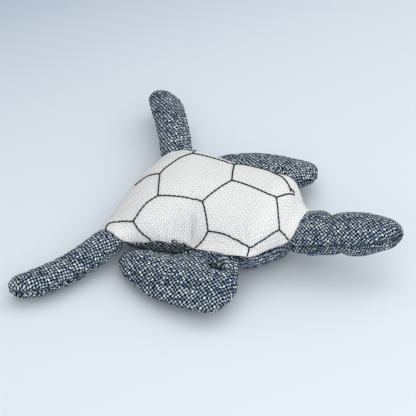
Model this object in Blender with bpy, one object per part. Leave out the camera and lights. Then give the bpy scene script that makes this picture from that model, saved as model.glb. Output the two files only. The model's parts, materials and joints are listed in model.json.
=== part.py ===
"""Stuffed sea turtle: a domed canvas back over a woven belly, with a head and four flippers.

Every limb is a flat tube of two woven panels sewn together round the edge and filled. Its open end
is pressed flat and caught in the seam between the back and the belly, and it flexes along that seam.
Lengths are in metres, +Z is up, +X points to the head and +Y to the turtle's left side. The origin
lies on the flat patch that the belly rests on, under the middle of the body's length.
"""

import math

import bmesh
import bpy
import numpy as np
from mathutils import Matrix, Vector

# Cloth and seams
CLOTH_THICKNESS = 0.0012
SEAM_CLEARANCE = 0.0003
STUFFING_CLEARANCE = 0.0005
STUFFING_END_CLEARANCE = 0.0012
FOLD_CLEARANCE = 0.0005
HEM_DEPTH = 0.008
HEM_SIDE_MARGIN = 0.003
HEM_CLEARANCE = 0.0004
HEM_HEADROOM = 0.0025

# Body
BODY_LENGTH = 0.119
NECK_WIDTH = 0.032
TAIL_WIDTH = 0.066
BACK_RISE = 0.0255
BACK_NECK_ROUND = 0.02
BACK_TAIL_ROUND = 0.041
BACK_FULLNESS = 2.25
BELLY_FLAT_DEPTH = 0.0005
BELLY_NECK_ROUND = 0.028
BELLY_TAIL_ROUND = 0.036
BELLY_FULLNESS = 2.8
SEAM_HEIGHT_NECK = 0.026
SEAM_HEIGHT_MIDDLE = 0.0217
SEAM_HEIGHT_TAIL = 0.0136
OUTLINE_CORNER_REACH = 0.006

# Straight run of the body's outline past each end of a flipper's root
FRONT_ROOT_MARGIN = 0.008
REAR_ROOT_MARGIN = 0.002

# Head
HEAD_LENGTH = 0.0675
HEAD_WIDTH = 0.031
HEAD_THICKNESS = 0.0262
HEAD_LEAN = 0.0096
HEAD_RAISE_DEG = 11.8
NECK_END_ROUND = 0.014
NECK_FOLD_DEPTH = 0.0095
NOSE_END_ROUND = 0.007

# Front flippers
FRONT_ROOT_WIDTH = 0.0275
FRONT_ROOT_FROM_NECK = 0.0379
FRONT_ROOT_Y = 0.0392
FRONT_REACH = 0.046
FRONT_RIGHT_LENGTH = 0.085
FRONT_LEFT_LENGTH = 0.079
FRONT_THICKNESS = 0.0148
FRONT_LEADING_ROUND = 0.012
FRONT_TIP_ROUND = 0.016
FRONT_FOLD_DEPTH = 0.004

# Rear flippers
REAR_ROOT_WIDTH = 0.0205
REAR_ROOT_FROM_TAIL = 0.0135
REAR_ROOT_Y = 0.0437
REAR_LENGTH = 0.0805
REAR_WIDTH = 0.023
REAR_THICKNESS = 0.0156
REAR_BEND = 0.0058
REAR_ROOT_ROUND = 0.0138
REAR_TIP_ROUND = 0.0117
REAR_FOLD_DEPTH = 0.0055

# How each flipper lies at rest: angle back from straight out, angle up, and the bow of its length
FRONT_RIGHT_SWEEP_DEG = -0.8
FRONT_LEFT_SWEEP_DEG = -3.9
FRONT_RIGHT_RAISE_DEG = -17.0
FRONT_LEFT_RAISE_DEG = -18.0
FRONT_RIGHT_TIP_DROOP = 0.0055
FRONT_LEFT_TIP_DROOP = 0.008
REAR_RIGHT_SWEEP_DEG = 21.7
REAR_LEFT_SWEEP_DEG = 29.7
REAR_RIGHT_RAISE_DEG = -2.5
REAR_LEFT_RAISE_DEG = 2.1
REAR_RIGHT_BOW = -0.0032
REAR_LEFT_BOW = 0.0043

# Cross-sections: 2 is an ellipse, and a larger number is squarer
LIMB_FULLNESS = 2.0

# Outlines, as shares of the piece's own length and half width or reach
HEAD_OUTLINE_SHARES = (
    (0.0, 1.07), (0.12, 1.02), (0.28, 0.96), (0.42, 0.97), (0.56, 0.98),
    (0.70, 0.89), (0.84, 0.70), (0.95, 0.42), (1.0, 0.20),
)
HEAD_THICKNESS_SHARES = ((0.0, 0.81), (0.2, 0.89), (0.5, 1.0), (0.68, 0.99), (0.85, 0.75), (1.0, 0.50))
REAR_LEADING_SHARES = (
    (0.0, 0.87), (0.12, 0.96), (0.3, 1.0), (0.5, 0.99), (0.68, 1.01),
    (0.82, 0.85), (0.93, 0.46), (0.99, -0.04),
)
REAR_TRAILING_SHARES = (
    (0.0, 0.88), (0.12, 0.96), (0.3, 0.95), (0.5, 0.97), (0.7, 1.01),
    (0.88, 0.99), (0.97, 0.75), (1.0, 0.43),
)
FRONT_INNER_SHARES = (
    (0.012, 0.192), (0.0, 0.14), (0.0, 0.0), (0.0, -0.17), (0.15, -0.33),
    (0.21, -0.53), (0.28, -0.67), (0.42, -0.716),
)
FRONT_OUTER_SHARES = (
    (0.57, 0.298), (0.815, 0.25), (0.98, 0.164), (1.0, -0.064), (0.935, -0.315),
    (0.79, -0.496), (0.653, -0.622), (0.511, -0.705),
)
FLIPPER_THICKNESS_SHARES = ((0.0, 1.0), (1.0, 1.0))

# Mesh density
BODY_STATIONS = 20
BODY_STEPS = 12
BODY_FILLING_STEPS = 6
LIMB_STATIONS = 12
LIMB_STEPS = 8
LIMB_FILLING_STEPS = 4
CORNER_STEPS = 6
EDGE_SAMPLES = 241
SHARP_EDGE_DEG = 50.0

RIGHT = -1
LEFT = 1
UP = 1
DOWN = -1


def clear_scene():
    for scene_object in list(bpy.data.objects):
        bpy.data.objects.remove(scene_object, do_unlink=True)


def new_collection(name):
    collection = bpy.data.collections.new(name)
    bpy.context.scene.collection.children.link(collection)
    return collection


def cloth_material(name, colour, roughness):
    material = bpy.data.materials.new(name)
    material.use_nodes = True
    shader = material.node_tree.nodes["Principled BSDF"]
    shader.inputs["Base Color"].default_value = (*colour, 1.0)
    shader.inputs["Roughness"].default_value = roughness
    shader.inputs["Metallic"].default_value = 0.0
    material.diffuse_color = (*colour, 1.0)
    return material


def end_spaced(count):
    """Shares from 0 to 1 that lie closer together towards both ends."""
    return (1.0 - np.cos(np.pi * np.linspace(0.0, 1.0, count + 1))) / 2.0


def through(points):
    """Closely spaced points on a smooth curve through the given ones."""
    known = np.array(points, dtype=float)
    slopes = np.gradient(known, axis=0)
    place = np.linspace(0.0, len(known) - 1, EDGE_SAMPLES)
    first = np.minimum(place.astype(int), len(known) - 2)
    t = (place - first)[:, None]
    start, end = known[first], known[first + 1]
    smooth = t * t * (3.0 - 2.0 * t)
    return (
        start * (1.0 - smooth)
        + end * smooth
        + slopes[first] * t * (1.0 - t) ** 2
        - slopes[first + 1] * t * t * (1.0 - t)
    )


def rounded_path(corners, reach):
    """A line through corners, each bent into a curve that begins the given reach away from it."""
    path = [corners[0]]
    for before, corner, after in zip(corners, corners[1:], corners[2:]):
        start = corner + (before - corner).normalized() * min(reach, (before - corner).length / 2)
        end = corner + (after - corner).normalized() * min(reach, (after - corner).length / 2)
        for step in range(CORNER_STEPS + 1):
            t = step / CORNER_STEPS
            path.append(start * (1 - t) ** 2 + corner * 2 * t * (1 - t) + end * t * t)
    path.append(corners[-1])
    return path


def columns_at(places, known_places, columns):
    """Values of each column at the given places, between the known ones."""
    return np.stack([np.interp(places, known_places, column) for column in columns.T], axis=1)


def moved_in(edge, other_edge, distance):
    """An edge moved towards the other one, by a distance measured square to itself."""
    slope = np.gradient(edge, axis=0)
    normal = np.stack([-slope[:, 1], slope[:, 0]], axis=1)
    normal /= np.linalg.norm(normal, axis=1)[:, None]
    inwards = np.sign(np.sum(np.sum(normal * (other_edge - edge), axis=1)))
    return edge + normal * inwards * distance


def end_rounding(along, length, start_round, end_round):
    """Share of the full height at a distance along a piece whose two ends are rounded off."""
    near_start = np.clip(1.0 - along / start_round, 0.0, 1.0)
    near_end = np.clip(1.0 - (length - along) / end_round, 0.0, 1.0)
    return np.sqrt((1.0 - near_start**2) * (1.0 - near_end**2))


class Pillow:
    """A filled form between two edges of a flat outline, thickest along the middle.

    Its upper and lower faces meet in a seam at the outline. Each face can be asked for at an inset,
    which gives the inside of the cloth and the outside of the filling from the same sizes.
    """

    def __init__(self, first_edge, second_edge, seam, rise, sink, panel_grid, filling_grid):
        self.first_edge = first_edge
        self.second_edge = second_edge
        self.seam = seam
        self.rise = rise
        self.sink = sink
        self.panel_grid = panel_grid
        self.filling_grid = filling_grid

    def layer(self, side, inset, end_inset, grid):
        """Grid of points of the upper or lower face, one row for each station."""
        stations, steps = grid
        middle = (self.first_edge + self.second_edge) / 2.0
        spans = np.linalg.norm(np.diff(middle, axis=0), axis=1)
        travelled = np.concatenate([[0.0], np.cumsum(spans)])
        length = travelled[-1] - 2.0 * end_inset
        along = end_spaced(stations) * length
        first = moved_in(self.first_edge, self.second_edge, inset)
        second = moved_in(self.second_edge, self.first_edge, inset)
        first = columns_at(along + end_inset, travelled, first)
        second = columns_at(along + end_inset, travelled, second)
        middle = (first + second) / 2.0
        face = self.rise if side == UP else self.sink
        height, fullness, floor = face(middle, along, inset)
        turn = np.pi * np.linspace(0.0, 1.0, steps + 1)
        across = -np.cos(turn)
        crown = np.sqrt(np.maximum(1.0 - np.abs(across) ** fullness, 0.0))
        rows = []
        for a, b, high in zip(first, second, height):
            row = []
            for v, c in zip(across, crown):
                x, y = (a + b) / 2.0 + (b - a) / 2.0 * v
                z = self.seam(x, y) + side * (SEAM_CLEARANCE / 2.0 + high * c)
                if floor is not None:
                    z = max(z, floor)
                row.append(Vector((x, y, z)))
            rows.append(row)
        return rows

    def mesh(self, name, grid, lower, upper):
        """Closed mesh between two layers: a flat grid given a thickness, then moved into place."""
        lower_layer = self.layer(*lower, grid)
        upper_layer = self.layer(*upper, grid)
        stations, steps = grid
        bm = bmesh.new()
        bmesh.ops.create_grid(bm, x_segments=stations, y_segments=steps, size=1.0)
        grown = bmesh.ops.extrude_face_region(bm, geom=bm.faces[:], use_keep_orig=True)
        raised = [item for item in grown["geom"] if isinstance(item, bmesh.types.BMVert)]
        bmesh.ops.translate(bm, verts=raised, vec=(0.0, 0.0, 1.0))
        bmesh.ops.recalc_face_normals(bm, faces=bm.faces[:])
        for vert in bm.verts:
            station = round((vert.co.x + 1.0) / 2.0 * stations)
            step = round((vert.co.y + 1.0) / 2.0 * steps)
            chosen = upper_layer if vert.co.z > 0.5 else lower_layer
            vert.co = chosen[station][step]
        bmesh.ops.triangulate(bm, faces=bm.faces[:], quad_method="BEAUTY")
        if bm.calc_volume(signed=True) < 0.0:
            bmesh.ops.reverse_faces(bm, faces=bm.faces[:])
        mesh = bpy.data.meshes.new(name)
        bm.to_mesh(mesh)
        bm.free()
        mesh.shade_smooth()
        mesh.set_sharp_from_angle(angle=math.radians(SHARP_EDGE_DEG))
        return mesh

    def upper_panel(self, name):
        inner = (UP, CLOTH_THICKNESS, CLOTH_THICKNESS)
        return self.mesh(name, self.panel_grid, inner, (UP, 0.0, 0.0))

    def lower_panel(self, name):
        inner = (DOWN, CLOTH_THICKNESS, CLOTH_THICKNESS)
        return self.mesh(name, self.panel_grid, (DOWN, 0.0, 0.0), inner)

    def stuffing(self, name):
        inset = CLOTH_THICKNESS + STUFFING_CLEARANCE
        end_inset = CLOTH_THICKNESS + STUFFING_END_CLEARANCE
        lower = (DOWN, inset, end_inset)
        return self.mesh(name, self.filling_grid, lower, (UP, inset, end_inset))


def add_object(collection, name, mesh, material, parent=None):
    new_object = bpy.data.objects.new(name, mesh)
    collection.objects.link(new_object)
    mesh.materials.append(material)
    new_object.parent = parent
    return new_object


def seam_height(x, _y=0.0):
    """Height of the seam round the body, on a smooth curve from the tail to the neck."""
    t = 2.0 * x / BODY_LENGTH
    tilt = (SEAM_HEIGHT_NECK - SEAM_HEIGHT_TAIL) / 2.0
    bow = (SEAM_HEIGHT_NECK + SEAM_HEIGHT_TAIL) / 2.0 - SEAM_HEIGHT_MIDDLE
    return SEAM_HEIGHT_MIDDLE + tilt * t + bow * t * t


class Root:
    """Where a limb meets the body: a straight stretch of the seam, with the fold line outside it.

    out is the level direction away from the body, and the fold runs along the seam. The limb's own
    axes are x outwards, y along the fold and z up.
    """

    def __init__(self, name, x, y, out_angle, width, raise_deg, fold_depth):
        self.name = name
        self.width = width
        self.middle = Vector((x, y, 0.0))
        self.out = Vector((math.cos(out_angle), math.sin(out_angle), 0.0))
        along = Vector((-self.out.y, self.out.x, 0.0))
        self.start = self.middle - along * (width / 2.0)
        self.end = self.middle + along * (width / 2.0)
        for corner in (self.start, self.end, self.middle):
            corner.z = seam_height(corner.x)
        self.fold = (self.end - self.start).normalized()
        self.up = self.out.cross(self.fold).normalized()
        self.level_out = self.fold.cross(self.up).normalized()
        self.raise_angle = math.radians(raise_deg)
        self.fold_depth = fold_depth
        self.axis_point = self.middle + self.level_out * (FOLD_CLEARANCE + fold_depth)

    def level_frame(self, origin):
        frame = Matrix((self.level_out, self.fold, self.up)).transposed().to_4x4()
        frame.translation = origin
        return frame

    def frame(self):
        """Place of the limb's own axes at rest, with the origin on the fold line."""
        return self.level_frame(self.axis_point) @ Matrix.Rotation(-self.raise_angle, 4, "Y")


def flipper_root(name, side, x, y, sweep_deg, width, raise_deg, fold_depth):
    out_angle = side * math.radians(90.0 + sweep_deg)
    return Root(name, x, side * y, out_angle, width, raise_deg, fold_depth)


def body_side(side, front, rear):
    """Corners of one side of the body, from tail to neck, through the roots of its flippers."""
    tail = Vector((-BODY_LENGTH / 2.0, side * TAIL_WIDTH / 2.0))
    neck = Vector((BODY_LENGTH / 2.0, side * NECK_WIDTH / 2.0))
    corners = [tail]
    for root, run in ((rear, REAR_ROOT_MARGIN), (front, FRONT_ROOT_MARGIN)):
        ends = sorted((root.start, root.end), key=lambda corner: corner.x)
        margin = (ends[1] - ends[0]).normalized() * run
        corners += [(ends[0] - margin).to_2d(), (ends[1] + margin).to_2d()]
    corners.append(neck)
    return corners


def body_pillow(roots):
    all_x = (np.linspace(0.0, 1.0, EDGE_SAMPLES) - 0.5) * BODY_LENGTH
    edges = []
    for side, front, rear in (
        (RIGHT, roots["front_right_flipper"], roots["rear_right_flipper"]),
        (LEFT, roots["front_left_flipper"], roots["rear_left_flipper"]),
    ):
        path = rounded_path(body_side(side, front, rear), OUTLINE_CORNER_REACH)
        xs = [point.x for point in path]
        ys = [point.y for point in path]
        edges.append(np.stack([all_x, np.interp(all_x, xs, ys)], axis=1))

    def back(middle, along, inset):
        rounding = end_rounding(along, along[-1], BACK_TAIL_ROUND - inset, BACK_NECK_ROUND - inset)
        return (BACK_RISE - inset) * rounding, BACK_FULLNESS, None

    def belly(middle, along, inset):
        depth = seam_height(middle[:, 0]) + BELLY_FLAT_DEPTH - inset
        rounding = end_rounding(along, along[-1], BELLY_TAIL_ROUND - inset, BELLY_NECK_ROUND - inset)
        return depth * rounding, BELLY_FULLNESS, inset

    return Pillow(
        edges[0], edges[1], seam_height, back, belly,
        (BODY_STATIONS, BODY_STEPS), (BODY_STATIONS, BODY_FILLING_STEPS),
    )


def limb_pillow(first_edge, second_edge, thickness, profile_shares, ends, bend):
    """Filled limb whose height follows profile_shares and whose seam is bent by bend(x, y)."""
    start_round, end_round = ends

    def half_height(_middle, along, inset):
        shares = np.array(profile_shares)
        profile = np.interp(along / along[-1], shares[:, 0], shares[:, 1])
        rounding = end_rounding(along, along[-1], start_round - inset, end_round - inset)
        return (thickness / 2.0 * profile - inset) * rounding, LIMB_FULLNESS, None

    return Pillow(
        first_edge, second_edge, bend, half_height, half_height,
        (LIMB_STATIONS, LIMB_STEPS), (LIMB_STATIONS, LIMB_FILLING_STEPS),
    )


def head_pillow(root):
    shift = -root.fold_depth
    edges = []
    for side in (RIGHT, LEFT):
        points = [
            (
                shift + share * HEAD_LENGTH,
                side * half * HEAD_WIDTH / 2.0 + HEAD_LEAN * share**1.5,
            )
            for share, half in HEAD_OUTLINE_SHARES
        ]
        edges.append(through(points))
    return limb_pillow(
        edges[0], edges[1], HEAD_THICKNESS, HEAD_THICKNESS_SHARES,
        (NECK_END_ROUND, NOSE_END_ROUND), lambda x, y: 0.0,
    )


def rear_pillow(root, side, bow):
    """Rear flipper: forward on its own axes is -side along the fold."""
    shift = -root.fold_depth
    forward = -side
    edges = []
    for direction, shares in ((1, REAR_LEADING_SHARES), (-1, REAR_TRAILING_SHARES)):
        points = [
            (
                shift + share * REAR_LENGTH,
                forward * (direction * half * REAR_WIDTH / 2.0 - REAR_BEND * share**2),
            )
            for share, half in shares
        ]
        edges.append(through(points))

    def bend(x, _y):
        share = min(max((x - shift) / REAR_LENGTH, 0.0), 1.0)
        return bow * math.sin(math.pi * share) ** 2

    return limb_pillow(
        edges[0], edges[1], REAR_THICKNESS, FLIPPER_THICKNESS_SHARES,
        (REAR_ROOT_ROUND, REAR_TIP_ROUND), bend,
    )


def front_pillow(root, side, length, tip_droop):
    """Front flipper: a broad paddle swept back along the body from a root on its inner edge."""
    shift = -root.fold_depth
    forward = -side
    edges = []
    for shares in (FRONT_INNER_SHARES, FRONT_OUTER_SHARES):
        points = [
            (shift + out * FRONT_REACH, forward * ahead * length) for out, ahead in shares
        ]
        edges.append(through(points))

    def bend(_x, y):
        behind = max(-forward * y / length, 0.0)
        return -tip_droop * (behind / FRONT_INNER_SHARES[-1][1]) ** 2

    return limb_pillow(
        edges[0], edges[1], FRONT_THICKNESS, FLIPPER_THICKNESS_SHARES,
        (FRONT_LEADING_ROUND, FRONT_TIP_ROUND), bend,
    )


def add_box(collection, name, frame, low, high):
    """Box between two corners given on the frame's axes."""
    bm = bmesh.new()
    bmesh.ops.create_cube(bm, size=1.0)
    size = Vector(high) - Vector(low)
    middle = (Vector(high) + Vector(low)) / 2.0
    bmesh.ops.scale(bm, vec=size, verts=bm.verts[:])
    bmesh.ops.translate(bm, vec=middle, verts=bm.verts[:])
    bmesh.ops.transform(bm, matrix=frame, verts=bm.verts[:])
    mesh = bpy.data.meshes.new(name)
    bm.to_mesh(mesh)
    bm.free()
    box = bpy.data.objects.new(name, mesh)
    collection.objects.link(box)
    return box


def add_hem(root, parts, cutters, material, cut_objects):
    """Pressed-flat end of a limb's two panels, let into the belly's edge under the back."""
    thickness = 2.0 * CLOTH_THICKNESS
    half_width = root.width / 2.0 - HEM_SIDE_MARGIN
    frame = root.level_frame(root.middle)
    top = -SEAM_CLEARANCE / 2.0
    hem = add_box(
        parts, root.name + "_sewn_end", frame,
        (-HEM_DEPTH, -half_width, top - thickness), (0.0, half_width, top),
    )
    hem.data.materials.append(material)
    grown = Vector((HEM_CLEARANCE, HEM_CLEARANCE, HEM_CLEARANCE))
    cutter = add_box(
        cutters, root.name + "_sewn_end_slot", frame,
        Vector((-HEM_DEPTH, -half_width, top - thickness)) - grown,
        Vector((HEM_DEPTH, half_width, top + HEM_HEADROOM)) + grown,
    )
    cutter.hide_render = True
    cutter.display_type = "WIRE"
    for cut_object in cut_objects:
        boolean = cut_object.modifiers.new(root.name + "_slot", "BOOLEAN")
        boolean.operation = "DIFFERENCE"
        boolean.solver = "EXACT"
        boolean.object = cutter


def add_limb(root, pillow, parts, woven, filling):
    """Upper panel, lower panel and filling of one limb, carried by an empty on its fold line."""
    hinge = bpy.data.objects.new(root.name + "_fold", None)
    parts.objects.link(hinge)
    hinge.matrix_world = root.frame()
    add_object(parts, root.name + "_upper_panel", pillow.upper_panel(root.name), woven, hinge)
    add_object(parts, root.name + "_lower_panel", pillow.lower_panel(root.name), woven, hinge)
    add_object(parts, root.name + "_stuffing", pillow.stuffing(root.name), filling, hinge)


def limb_roots():
    front_x = BODY_LENGTH / 2.0 - FRONT_ROOT_FROM_NECK
    rear_x = REAR_ROOT_FROM_TAIL - BODY_LENGTH / 2.0
    return {
        "head": Root(
            "head", BODY_LENGTH / 2.0, 0.0, 0.0, NECK_WIDTH, HEAD_RAISE_DEG, NECK_FOLD_DEPTH
        ),
        "front_right_flipper": flipper_root(
            "front_right_flipper", RIGHT, front_x, FRONT_ROOT_Y, FRONT_RIGHT_SWEEP_DEG,
            FRONT_ROOT_WIDTH, FRONT_RIGHT_RAISE_DEG, FRONT_FOLD_DEPTH,
        ),
        "front_left_flipper": flipper_root(
            "front_left_flipper", LEFT, front_x, FRONT_ROOT_Y, FRONT_LEFT_SWEEP_DEG,
            FRONT_ROOT_WIDTH, FRONT_LEFT_RAISE_DEG, FRONT_FOLD_DEPTH,
        ),
        "rear_right_flipper": flipper_root(
            "rear_right_flipper", RIGHT, rear_x, REAR_ROOT_Y, REAR_RIGHT_SWEEP_DEG,
            REAR_ROOT_WIDTH, REAR_RIGHT_RAISE_DEG, REAR_FOLD_DEPTH,
        ),
        "rear_left_flipper": flipper_root(
            "rear_left_flipper", LEFT, rear_x, REAR_ROOT_Y, REAR_LEFT_SWEEP_DEG,
            REAR_ROOT_WIDTH, REAR_LEFT_RAISE_DEG, REAR_FOLD_DEPTH,
        ),
    }


def build():
    clear_scene()
    parts = new_collection("plush_turtle")
    cutters = new_collection("cutters")
    canvas = cloth_material("undyed_canvas", (0.80, 0.81, 0.80), 0.92)
    woven = cloth_material("two_tone_weave", (0.11, 0.135, 0.165), 0.9)
    filling = cloth_material("polyester_fibre", (0.88, 0.88, 0.86), 0.95)

    roots = limb_roots()
    body = body_pillow(roots)
    add_object(parts, "carapace_panel", body.upper_panel("carapace"), canvas)
    plastron = add_object(parts, "plastron_panel", body.lower_panel("plastron"), woven)
    stuffing = add_object(parts, "body_stuffing", body.stuffing("body_stuffing"), filling)

    pillows = {
        "head": head_pillow(roots["head"]),
        "front_right_flipper": front_pillow(
            roots["front_right_flipper"], RIGHT, FRONT_RIGHT_LENGTH, FRONT_RIGHT_TIP_DROOP
        ),
        "front_left_flipper": front_pillow(
            roots["front_left_flipper"], LEFT, FRONT_LEFT_LENGTH, FRONT_LEFT_TIP_DROOP
        ),
        "rear_right_flipper": rear_pillow(roots["rear_right_flipper"], RIGHT, REAR_RIGHT_BOW),
        "rear_left_flipper": rear_pillow(roots["rear_left_flipper"], LEFT, REAR_LEFT_BOW),
    }
    for name, root in roots.items():
        add_limb(root, pillows[name], parts, woven, filling)
        add_hem(root, parts, cutters, woven, (plastron, stuffing))


build()
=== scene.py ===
import json
import math

import bmesh
import bpy
import numpy as np
from mathutils import Matrix, Vector
from mathutils.bvhtree import BVHTree
from mathutils.kdtree import KDTree


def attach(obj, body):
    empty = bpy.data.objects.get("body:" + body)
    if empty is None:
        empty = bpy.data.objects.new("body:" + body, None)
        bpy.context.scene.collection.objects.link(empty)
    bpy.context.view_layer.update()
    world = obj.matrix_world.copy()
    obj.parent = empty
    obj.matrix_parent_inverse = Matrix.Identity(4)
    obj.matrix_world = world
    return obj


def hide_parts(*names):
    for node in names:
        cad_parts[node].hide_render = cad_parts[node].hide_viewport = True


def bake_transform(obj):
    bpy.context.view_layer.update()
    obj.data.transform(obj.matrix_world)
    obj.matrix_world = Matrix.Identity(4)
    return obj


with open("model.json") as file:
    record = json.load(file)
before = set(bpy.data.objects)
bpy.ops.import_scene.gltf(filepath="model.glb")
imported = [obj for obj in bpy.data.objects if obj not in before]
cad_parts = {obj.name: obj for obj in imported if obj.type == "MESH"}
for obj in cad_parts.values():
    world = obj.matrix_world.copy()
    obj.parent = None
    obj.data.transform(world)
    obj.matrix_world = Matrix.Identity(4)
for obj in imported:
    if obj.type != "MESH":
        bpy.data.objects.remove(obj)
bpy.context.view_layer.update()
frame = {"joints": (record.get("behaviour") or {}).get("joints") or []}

# The back is one domed panel of undyed canvas that covers the whole body. Its edge is turned under
# and sewn to the belly all round, with the roots of the limbs caught in the same seam.
BODY_LENGTH = 0.119
BODY_CORNERS = (
    (
        (-0.0595, -0.033), (-0.05736, -0.03918), (-0.03464, -0.04822),
        (-0.00012, -0.0395), (0.04332, -0.0389), (0.0595, -0.016),
    ),
    (
        (-0.0595, 0.033), (-0.05663, 0.03764), (-0.03537, 0.04976),
        (-0.00007, 0.04068), (0.04327, 0.03772), (0.0595, 0.016),
    ),
)
CORNER_REACH = 0.006
CORNER_STEPS = 12
BODY_EDGE_POINTS = 600
SEAM_HEIGHT = 0.0217
SEAM_CLIMB = 0.0062
SEAM_BOW = 0.0019


def body_edge(corners):
    """One side of the body's outline: straight runs with each corner bent into a curve."""
    points = [Vector(corner) for corner in corners]
    path = [points[0]]
    for before, corner, after in zip(points, points[1:], points[2:]):
        start = corner + (before - corner).normalized() * min(CORNER_REACH, (before - corner).length / 2.0)
        end = corner + (after - corner).normalized() * min(CORNER_REACH, (after - corner).length / 2.0)
        for step in range(CORNER_STEPS + 1):
            t = step / CORNER_STEPS
            path.append(start * (1.0 - t) ** 2 + corner * 2.0 * t * (1.0 - t) + end * t * t)
    path.append(points[-1])
    xs = np.linspace(-BODY_LENGTH / 2.0, BODY_LENGTH / 2.0, BODY_EDGE_POINTS)
    return np.stack([xs, np.interp(xs, [p.x for p in path], [p.y for p in path])], axis=1)


def body_seam(x):
    """Height of the seam round the body, which climbs from the tail to the neck."""
    t = 2.0 * x / BODY_LENGTH
    return SEAM_HEIGHT + SEAM_CLIMB * t - SEAM_BOW * t * t


class Sleeve:
    """Rows of points between two sewn edges, closer together at the ends and at the seams."""

    def __init__(self, first_edge, second_edge, stations, steps):
        middle = (first_edge + second_edge) / 2.0
        travelled = np.concatenate([[0.0], np.cumsum(np.linalg.norm(np.diff(middle, axis=0), axis=1))])
        self.length = travelled[-1]
        self.along = (1.0 - np.cos(np.pi * np.linspace(0.0, 1.0, stations + 1))) / 2.0 * self.length
        self.across = -np.cos(np.pi * np.linspace(0.0, 1.0, steps + 1))
        edges = []
        for edge in (first_edge, second_edge):
            edges.append(np.stack([np.interp(self.along, travelled, column) for column in edge.T], axis=1))
        side = (self.across[None, :, None] + 1.0) / 2.0
        self.flat = edges[0][:, None, :] * (1.0 - side) + edges[1][:, None, :] * side

    def swell(self, start_round, end_round, squareness=2.0, tuck=0.0):
        """How far a filled panel has risen at each point, from 0 at its edges to 1."""
        near_start = np.clip(1.0 - np.maximum(self.along - tuck, 0.0) / start_round, 0.0, 1.0)
        near_end = np.clip(1.0 - (self.length - self.along) / end_round, 0.0, 1.0)
        rounding = np.sqrt((1.0 - near_start**2) * (1.0 - near_end**2))
        crown = np.sqrt(np.maximum(1.0 - np.abs(self.across) ** squareness, 0.0))
        return rounding[:, None], crown[None, :]


def cloth_plan(points, grain):
    """Flat pattern of a panel in metres, with its threads at the angle of the grain from the x axis."""
    middle = points.shape[1] // 2
    spine = points[:, middle]
    heading = np.gradient(spine[:, :2], axis=0)
    heading /= np.maximum(np.linalg.norm(heading, axis=1), 1e-9)[:, None]
    step = np.linalg.norm(np.diff(spine, axis=0), axis=1)[:, None]
    steps_on = np.cumsum((heading[1:] + heading[:-1]) / 2.0 * step, axis=0)
    start = np.concatenate([spine[:1, :2], spine[:1, :2] + steps_on])
    row = points[:, -1, :2] - points[:, 0, :2]
    row /= np.maximum(np.linalg.norm(row, axis=1), 1e-9)[:, None]
    over = np.linalg.norm(np.diff(points, axis=1), axis=2)
    across = np.concatenate([np.zeros((len(points), 1)), np.cumsum(over, axis=1)], axis=1)
    across -= across[:, middle:middle + 1]
    plan = start[:, None, :] + row[:, None, :] * across[:, :, None]
    c, s = math.cos(grain), math.sin(grain)
    return np.stack([plan[..., 0] * c + plan[..., 1] * s, plan[..., 1] * c - plan[..., 0] * s], axis=2)


def lay_panel(bm, points, plan, facing):
    """Adds one panel to a mesh: a grid moved to its place, with the flat pattern as its UV map."""
    rows, columns = points.shape[0] - 1, points.shape[1] - 1
    uv = bm.loops.layers.uv.verify()
    grid = bmesh.ops.create_grid(bm, x_segments=rows, y_segments=columns, size=1.0)
    place = {}
    for vert in grid["verts"]:
        place[vert] = (round((vert.co.x + 1.0) / 2.0 * rows), round((vert.co.y + 1.0) / 2.0 * columns))
    faces = list({face for vert in place for face in vert.link_faces})
    for face in faces:
        face.smooth = True
        for loop in face.loops:
            loop[uv].uv = plan[place[loop.vert]]
    for vert, spot in place.items():
        vert.co = points[spot]
    if facing < 0:
        bmesh.ops.reverse_faces(bm, faces=faces)


def finish_mesh(bm, name):
    """Makes the mesh an object of the scene, at the origin."""
    mesh = bpy.data.meshes.new(name)
    bm.to_mesh(mesh)
    bm.free()
    piece = bpy.data.objects.new(name, mesh)
    bpy.context.scene.collection.objects.link(piece)
    return piece


def rim_distance(points):
    """Distance of each point of a panel from the panel's nearest edge, along the cloth."""
    over = np.linalg.norm(np.diff(points, axis=1), axis=2)
    run = np.concatenate([np.zeros((points.shape[0], 1)), np.cumsum(over, axis=1)], axis=1)
    down = np.linalg.norm(np.diff(points, axis=0), axis=2)
    fall = np.concatenate([np.zeros((1, points.shape[1])), np.cumsum(down, axis=0)], axis=0)
    return np.minimum(np.minimum(run, run[:, -1:] - run), np.minimum(fall, fall[-1:] - fall))


BODY_RADIUS = 0.05
# Small gathers beside a seam are waves of three lengths, each with its share of the height.
BODY_GATHERS = ((0.0047, 0.4), (0.0071, 0.35), (0.0118, 0.35))
GATHER_SPREAD = 3.2
EDGE_AT_REST = 0.0006


def rolled_rim(points, depth, width, ripple, seed):
    """Turns the edge of the cloth in where it goes into the body seam, with small gathers beside it.

    The gathers are counted along a circle of the body's radius, and fade out at the very edge.
    """
    rng = np.random.default_rng(seed)
    inside = rim_distance(points)
    inwards = -points
    inwards[:, :, 2] = 0.0
    inwards /= np.maximum(np.linalg.norm(inwards, axis=2), 1e-5)[:, :, None]
    bearing = np.arctan2(points[:, :, 1], points[:, :, 0]) * BODY_RADIUS
    gathers = sum(
        np.sin(bearing / length * 2.0 * np.pi + rng.uniform(0.0, 6.3)) * share
        for length, share in BODY_GATHERS
    )
    beside_rim = np.exp(-(inside / (GATHER_SPREAD * width)) ** 2)
    off_edge = 1.0 - np.exp(-(inside / EDGE_AT_REST) ** 2)
    amount = depth * np.exp(-(inside / width) ** 2)
    amount += ripple * gathers * beside_rim * off_edge
    return points + inwards * amount[:, :, None]


ROOT_DEPTH = 0.03
ROOT_OVERHANG = 1.08


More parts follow.
